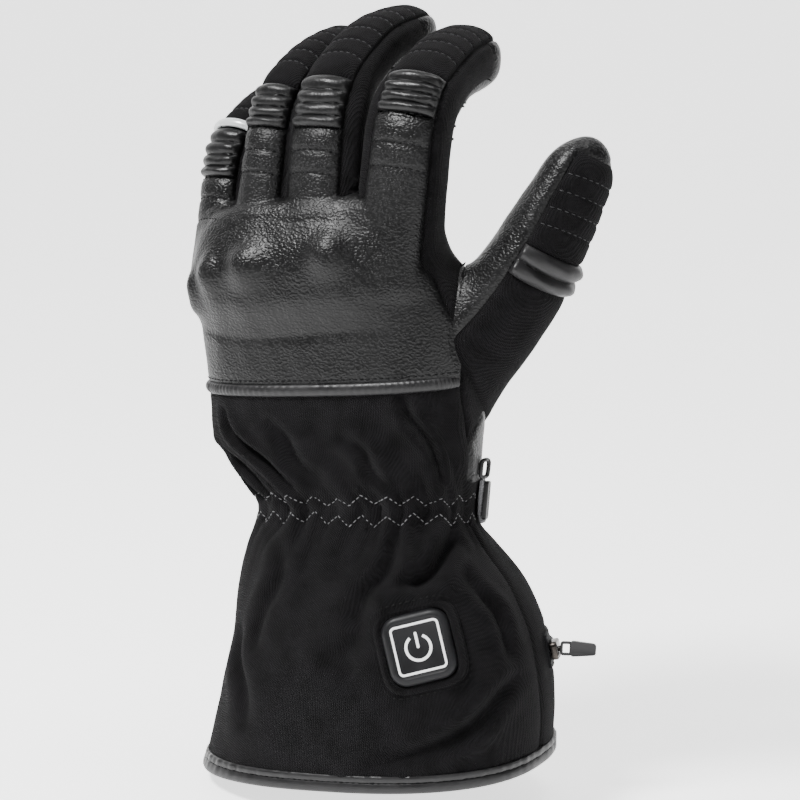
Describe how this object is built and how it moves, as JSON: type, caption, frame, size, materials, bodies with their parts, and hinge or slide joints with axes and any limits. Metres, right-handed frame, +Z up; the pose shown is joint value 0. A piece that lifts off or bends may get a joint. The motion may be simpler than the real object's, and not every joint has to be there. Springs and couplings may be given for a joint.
{
  "type": "heated glove",
  "caption": "Left-hand heated riding gauntlet with a leather knuckle panel, ribbed finger backs, gathered wrist, power button and zipped battery pocket.",
  "frame": {"origin": "centre of the wrist, where the hand that fills the glove carries it", "axes": "+Z up along the hand to the fingertips, -Y out of the back of the hand, +X towards the thumb"},
  "size_m": [0.1624, 0.1163, 0.2905],
  "materials": {
    "softshell": "matte knitted softshell",
    "leather": "pebbled, soft sheen",
    "trim": "smooth bound tape",
    "elastic": "ribbed elastic",
    "rubber": "matte",
    "print": "printed",
    "reflective": "reflective piping",
    "zip": "matte",
    "metal": "dark plated",
    "puller": "moulded"
  },
  "bodies": {
    "glove": {"button_outline": "print", "button_pad": "rubber", "button_window": "softshell", "fork_index_middle": "softshell", "fork_middle_ring": "softshell", "fork_ring_little": "softshell", "gauntlet_back": "softshell", "gauntlet_palm": "softshell", "hand_back": "softshell", "hem_binding": "trim", "index_front": "leather", "index_ribs": "leather", "index_side_strip": "softshell", "index_tip_back": "softshell", "knuckle_panel": "leather", "little_front": "leather", "little_reflective_piping": "reflective", "little_ribs": "leather", "little_side_strip": "softshell", "little_tip_back": "softshell", "middle_front": "leather", "middle_ribs": "leather", "middle_tip_back": "softshell", "palm_panel": "leather", "panel_piping": "trim", "power_bar": "print", "power_ring": "print", "ring_front": "leather", "ring_ribs": "leather", "ring_tip_back": "softshell", "strap_loop": "trim", "strap_tab": "trim", "thumb_back": "softshell", "thumb_front": "leather", "thumb_ribs": "trim", "thumb_tip_back": "softshell", "wrist_gather": "softshell", "wrist_strap": "elastic", "zip_slider": "metal", "zip_tape": "zip", "zip_teeth": "zip"},
    "pull": {"zip_pull": "puller"}
  },
  "joints": [
    {"name": "pull_hinge", "type": "hinge", "parent": "glove", "child": "pull", "pos_m": [0.07455, 0.01612, -0.05149], "axis": [-0.1857, -0.0269, 0.9822], "range_deg": [-80, 60]}
  ]
}
